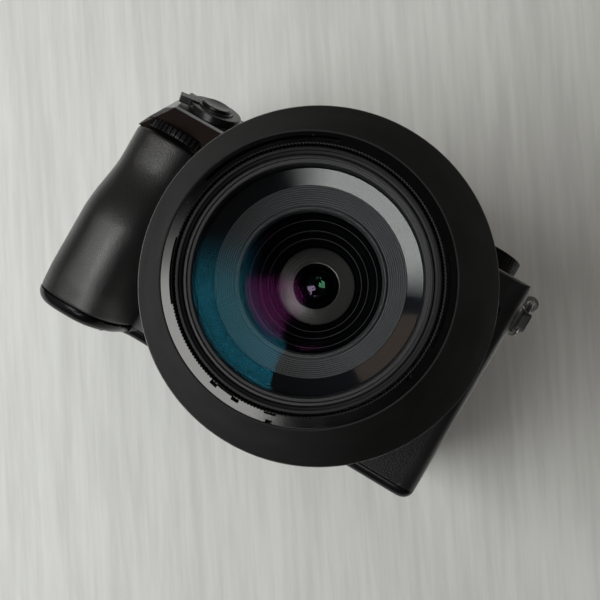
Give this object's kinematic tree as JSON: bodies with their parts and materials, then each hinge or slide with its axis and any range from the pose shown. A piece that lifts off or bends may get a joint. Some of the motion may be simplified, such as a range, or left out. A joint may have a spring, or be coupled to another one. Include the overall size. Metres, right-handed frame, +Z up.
{
  "type": "medium format digital camera",
  "caption": "Black mirrorless medium format camera with hand grip, tilting screen and a retracting zoom lens that carries a screw-in filter and a reversed lens hood.",
  "frame": {"origin": "mouth of the tripod socket on the base, straight below the lens axis", "axes": "+Z up, -Y the way the lens looks, +X across the body away from the grip"},
  "size_m": [0.1608, 0.142, 0.1072],
  "materials": {
    "cover": "satin black paint, fine texture",
    "leather": "black grained leatherette",
    "rubber": "matt black rubber",
    "plastic": "black moulded plastic",
    "gloss": "gloss black",
    "steel": "bright turned steel",
    "alloy": "cast alloy",
    "anodised": "black anodised metal",
    "glass": "coated optical glass",
    "board": "printed board",
    "cell": "moulded case"
  },
  "bodies": {
    "camera_body": {"front_cover": "cover", "rear_cover": "cover", "top_cover": "cover", "bottom_plate": "cover", "grip_cover": "leather", "front_skin": "leather", "chassis": "alloy", "mount_ring": "steel", "screws": "steel", "shutter_unit": "plastic", "sensor_unit": "cell", "main_board": "board", "battery": "cell", "card_slot": "steel", "hot_shoe": "steel", "top_display": "gloss", "finder_lens": "glass", "eyecup": "rubber", "strap_lugs": "steel", "port_block": "plastic", "tripod_socket": "steel", "lens_flange": "steel", "lens_barrel": "anodised", "lens_cell": "plastic", "rear_lens": "glass", "iris_unit": "anodised"},
    "zoom_ring": {"zoom_ring": "anodised", "zoom_grip": "rubber"},
    "focus_ring": {"focus_ring": "anodised", "focus_grip": "rubber"},
    "inner_barrel": {"inner_barrel": "anodised", "front_ring": "plastic", "front_element": "glass", "filter_ring": "anodised", "filter_glass": "glass"},
    "hood": {"hood": "plastic"},
    "screen_arm": {"screen_arm": "alloy"},
    "screen_panel": {"screen_panel": "plastic", "screen_glass": "gloss"},
    "strap_ring_left": {"strap_ring_left": "steel", "ring_cover_left": "plastic"},
    "strap_ring_right": {"strap_ring_right": "steel", "ring_cover_right": "plastic"},
    "shutter_button": {"shutter_button": "anodised"},
    "power_lever": {"power_lever": "anodised"},
    "front_dial": {"front_dial": "anodised"},
    "rear_dial": {"rear_dial": "anodised"},
    "mode_dial": {"mode_dial": "anodised"},
    "mode_lock": {"mode_lock": "anodised"},
    "top_button": {"top_button": "plastic"},
    "lens_release": {"lens_release": "anodised"},
    "joystick": {"joystick": "plastic"},
    "play_button": {"play_button": "plastic"},
    "menu_button": {"menu_button": "plastic"},
    "focus_button": {"focus_button": "plastic"},
    "dioptre_dial": {"dioptre_dial": "plastic"},
    "battery_door": {"battery_door": "plastic"},
    "battery_latch": {"battery_latch": "plastic"},
    "card_door": {"card_door": "plastic"},
    "port_cover": {"port_cover": "plastic"}
  },
  "joints": [
    {"name": "shutter_button_press", "type": "slide", "parent": "camera_body", "child": "shutter_button", "axis": [0, 0.4472, -0.8944], "range_m": [0, 0.0012], "stiffness_N_per_m": 800},
    {"name": "power_turn", "type": "hinge", "parent": "camera_body", "child": "power_lever", "pos_m": [-0.062, -0.036, 0.083], "axis": [0, -0.4472, 0.8944], "range_deg": [0, 40]},
    {"name": "front_dial_turn", "type": "hinge", "parent": "camera_body", "child": "front_dial", "pos_m": [-0.068, -0.0325, 0.0707], "axis": [0, 0, 1], "continuous": true},
    {"name": "rear_dial_turn", "type": "hinge", "parent": "camera_body", "child": "rear_dial", "pos_m": [-0.062, 0.0165, 0.0815], "axis": [0, 0, 1], "continuous": true},
    {"name": "mode_dial_turn", "type": "hinge", "parent": "camera_body", "child": "mode_dial", "pos_m": [0.045, 0.003, 0.091], "axis": [0, 0, 1], "continuous": true},
    {"name": "mode_lock_press", "type": "slide", "parent": "mode_dial", "child": "mode_lock", "axis": [0, 0, -1], "range_m": [0, 0.0009], "stiffness_N_per_m": 600},
    {"name": "top_button_press", "type": "slide", "parent": "camera_body", "child": "top_button", "axis": [0, 0, -1], "range_m": [0, 0.0008], "stiffness_N_per_m": 900},
    {"name": "lens_release_press", "type": "slide", "parent": "camera_body", "child": "lens_release", "axis": [0, 1, 0], "range_m": [0, 0.0022], "stiffness_N_per_m": 700},
    {"name": "zoom_turn", "type": "hinge", "parent": "camera_body", "child": "zoom_ring", "pos_m": [0, -0.057, 0.05], "axis": [0, -1, 0], "range_deg": [0, 75]},
    {"name": "barrel_extend", "type": "slide", "parent": "camera_body", "child": "inner_barrel", "axis": [0, -1, 0], "range_m": [0, 0.024]},
    {"name": "focus_turn", "type": "hinge", "parent": "camera_body", "child": "focus_ring", "pos_m": [0, -0.078, 0.05], "axis": [0, -1, 0], "continuous": true},
    {"name": "hood_twist", "type": "hinge", "parent": "inner_barrel", "child": "hood", "pos_m": [0, -0.098, 0.05], "axis": [0, -1, 0], "range_deg": [0, 65]},
    {"name": "screen_tilt_down", "type": "hinge", "parent": "camera_body", "child": "screen_arm", "pos_m": [0.004, 0.0174, 0.012], "axis": [-1, 0, 0], "range_deg": [0, 40]},
    {"name": "screen_tilt_up", "type": "hinge", "parent": "screen_arm", "child": "screen_panel", "pos_m": [0.004, 0.0174, 0.0685], "axis": [1, 0, 0], "range_deg": [0, 90]},
    {"name": "joystick_tilt", "type": "hinge", "parent": "camera_body", "child": "joystick", "pos_m": [-0.053, 0.02, 0.055], "axis": [1, 0, 0], "range_deg": [-8, 8], "stiffness_Nm_per_rad": 0.02},
    {"name": "play_button_press", "type": "slide", "parent": "camera_body", "child": "play_button", "axis": [0, -1, 0], "range_m": [0, 0.0008], "stiffness_N_per_m": 900},
    {"name": "menu_button_press", "type": "slide", "parent": "camera_body", "child": "menu_button", "axis": [0, -1, 0], "range_m": [0, 0.0008], "stiffness_N_per_m": 900},
    {"name": "focus_button_press", "type": "slide", "parent": "camera_body", "child": "focus_button", "axis": [0, -1, 0], "range_m": [0, 0.0008], "stiffness_N_per_m": 900},
    {"name": "dioptre_turn", "type": "hinge", "parent": "camera_body", "child": "dioptre_dial", "pos_m": [0.022, 0.019, 0.093], "axis": [1, 0, 0], "range_deg": [-150, 150]},
    {"name": "battery_door_open", "type": "hinge", "parent": "camera_body", "child": "battery_door", "pos_m": [-0.0588, -0.02, 0.0012], "axis": [0, -1, 0], "range_deg": [0, 92]},
    {"name": "battery_latch_slide", "type": "slide", "parent": "battery_door", "child": "battery_latch", "axis": [1, 0, 0], "range_m": [0, 0.003]},
    {"name": "card_door_open", "type": "hinge", "parent": "camera_body", "child": "card_door", "pos_m": [-0.0828, 0.014, 0.034], "axis": [0, 0, -1], "range_deg": [0, 88]},
    {"name": "port_cover_open", "type": "hinge", "parent": "camera_body", "child": "port_cover", "pos_m": [0.0628, -0.003, 0.041], "axis": [0, 0, -1], "range_deg": [0, 88]},
    {"name": "left_ring_swing", "type": "hinge", "parent": "camera_body", "child": "strap_ring_left", "pos_m": [-0.0874, 0.006, 0.074], "axis": [0, 1, 0], "range_deg": [0, 150]},
    {"name": "right_ring_swing", "type": "hinge", "parent": "camera_body", "child": "strap_ring_right", "pos_m": [0.0674, -0.008, 0.0838], "axis": [0, -1, 0], "range_deg": [0, 150]}
  ],
  "couplings": [
    {"joint": "barrel_extend", "follows": "zoom_turn", "m_per_rad": 0.018316}
  ]
}
